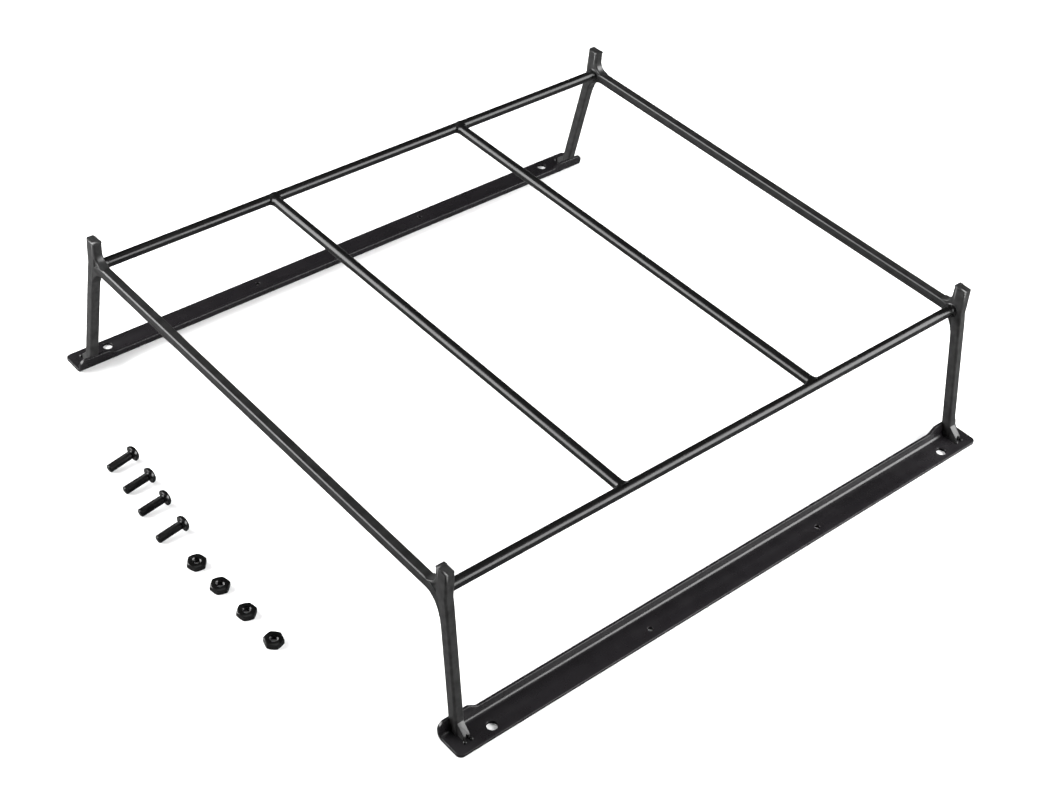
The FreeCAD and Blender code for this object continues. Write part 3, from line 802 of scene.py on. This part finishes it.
def add_floor():
    mesh = bpy.data.meshes.new("floor")
    bm = bmesh.new()
    bmesh.ops.create_circle(bm, cap_ends=True, segments=96, radius=0.5)
    bm.to_mesh(mesh)
    bm.free()
    floor = bpy.data.objects.new("floor", mesh)
    bpy.context.scene.collection.objects.link(floor)
    material, tree, shader = new_material("floor_paper")
    shader.inputs["Roughness"].default_value = 0.9
    shader.inputs["Specular IOR Level"].default_value = 0.1
    # Pale paper to the camera, but dark grey for glossy rays: a painted shade in the coat's reflections of
    # the floor.
    ray = tree.nodes.new("ShaderNodeLightPath")
    paper_with_painted_dark_reflection = ramp(tree, ray.outputs["Is Glossy Ray"], (0.9, 0.9, 0.9), (0.14, 0.14, 0.14), 0.4, 0.6)
    tree.links.new(paper_with_painted_dark_reflection, shader.inputs["Base Color"])
    mesh.materials.append(material)


def add_light(name, place, target, width, height, watts):
    """Soft box, aimed at the target; places and sizes in millimetres."""
    data = bpy.data.lights.new(name, "AREA")
    data.shape = "RECTANGLE"
    data.size, data.size_y = width * MM, height * MM
    data.energy = watts
    light = bpy.data.objects.new(name, data)
    bpy.context.scene.collection.objects.link(light)
    place, target = Vector(place) * MM, Vector(target) * MM
    turn = (target - place).to_track_quat("-Z", "Y").to_matrix().to_4x4()
    light.matrix_world = Matrix.Translation(place) @ turn


def add_sky():
    """Plain surround: pale to look at, but too dim to show in the coat."""
    world = bpy.data.worlds.new("studio")
    bpy.context.scene.world = world
    world.use_nodes = True
    tree = world.node_tree
    ray = tree.nodes.new("ShaderNodeLightPath")
    shade = ramp(tree, ray.outputs["Is Camera Ray"], (0.04, 0.04, 0.04), (1, 1, 1))
    tree.links.new(shade, tree.nodes["Background"].inputs["Color"])


def add_lights():
    """A soft box on each side of the view, low down, and a wide one overhead."""
    along = Vector((math.cos(AZIMUTH + math.pi / 2), math.sin(AZIMUTH + math.pi / 2), 0))
    centre = Vector((0, 0, RAIL_Z))
    for name, side, rise, watts in (("left_box", -1, 215, 11.0), ("right_box", 1, 265, 10.0)):
        place = centre + along * 520 * side + Vector((0, 0, rise))
        add_light(name, place, centre, 620, 380, watts)
    add_light("overhead", (0, 0, 1100), (0, 0, 0), 700, 700, 1.5)


def add_camera():
    data = bpy.data.cameras.new("camera")
    data.sensor_width = 36
    data.lens = LENS
    camera = bpy.data.objects.new("camera", data)
    bpy.context.scene.collection.objects.link(camera)
    level = math.cos(ELEVATION)
    back = Vector((level * math.cos(AZIMUTH), level * math.sin(AZIMUTH), math.sin(ELEVATION)))
    place = Vector(AIM) + back * DISTANCE
    turn = back.to_track_quat("Z", "Y").to_matrix().to_4x4()
    camera.matrix_world = Matrix.Translation(place * MM) @ turn @ Matrix.Rotation(ROLL, 4, "Z")
    bpy.context.scene.camera = camera


# The rack has one black coat all over. The post coat, used on posts, webs and gussets, is a lighter copy of
# it: its base colour is a painted highlight for the brighter faces the posts show. The bar coat is a darker
# copy: painted shade for the dark tops of the hoop bars.
coats = {
    "rod": black_coat("rod_coat", (0.003,) * 3, (0.0045,) * 3, (0.22, 0.3), 0.25, 0.012, 0.002),
    "sheet": black_coat(
        "sheet_coat", (0.0068, 0.0062, 0.007), (0.0088, 0.008, 0.009), (0.24, 0.32), 0.3, 0.014, 0.003
    ),
    "bar": black_coat("bar_coat_painted_darker", (0.005,) * 3, (0.011,) * 3, (0.34, 0.44), 0.35, 0.02, 0.005, patch=420),
    "post": black_coat("post_coat_painted_lighter", (0.008,) * 3, (0.019,) * 3, (0.34, 0.46), 0.4, 0.03, 0.006, patch=520),
}
steel = black_coat("black_oxide", (0.0015,) * 3, (0.003,) * 3, (0.15, 0.25), 0.35, 0.006, 0.001)
build_rack(coats)
build_hardware(steel)
add_floor()
add_sky()
add_lights()
add_camera()
bpy.context.scene.view_settings.view_transform = "Standard"
